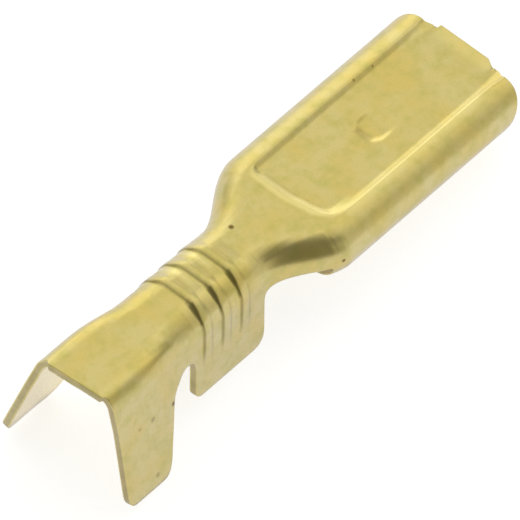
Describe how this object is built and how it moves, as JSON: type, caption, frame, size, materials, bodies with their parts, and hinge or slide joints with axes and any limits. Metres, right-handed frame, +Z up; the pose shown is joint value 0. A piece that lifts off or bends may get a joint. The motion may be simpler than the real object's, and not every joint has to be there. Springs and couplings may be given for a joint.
{
  "type": "female spade terminal",
  "caption": "One-piece stamped brass push-on receptacle for a flat tab, with rolled sides, a sunk back panel and open wire and insulation crimp barrels.",
  "frame": {"origin": "centre of the base of the bounding box: the surface that the terminal rests on, under the middle of its length", "axes": "+X along the strip to the mouth, +Y across, +Z up; the terminal lies back up, pitched down to the mouth by 9.0 degrees, as it comes to rest on its wing tips and rolls"},
  "size_m": [0.0208, 0.0056, 0.0053],
  "materials": {
    "brass": "satin, half-hard rolled strip as stamped, with faint mottling"
  },
  "bodies": {
    "root": {"terminal": "brass"}
  },
  "joints": []
}
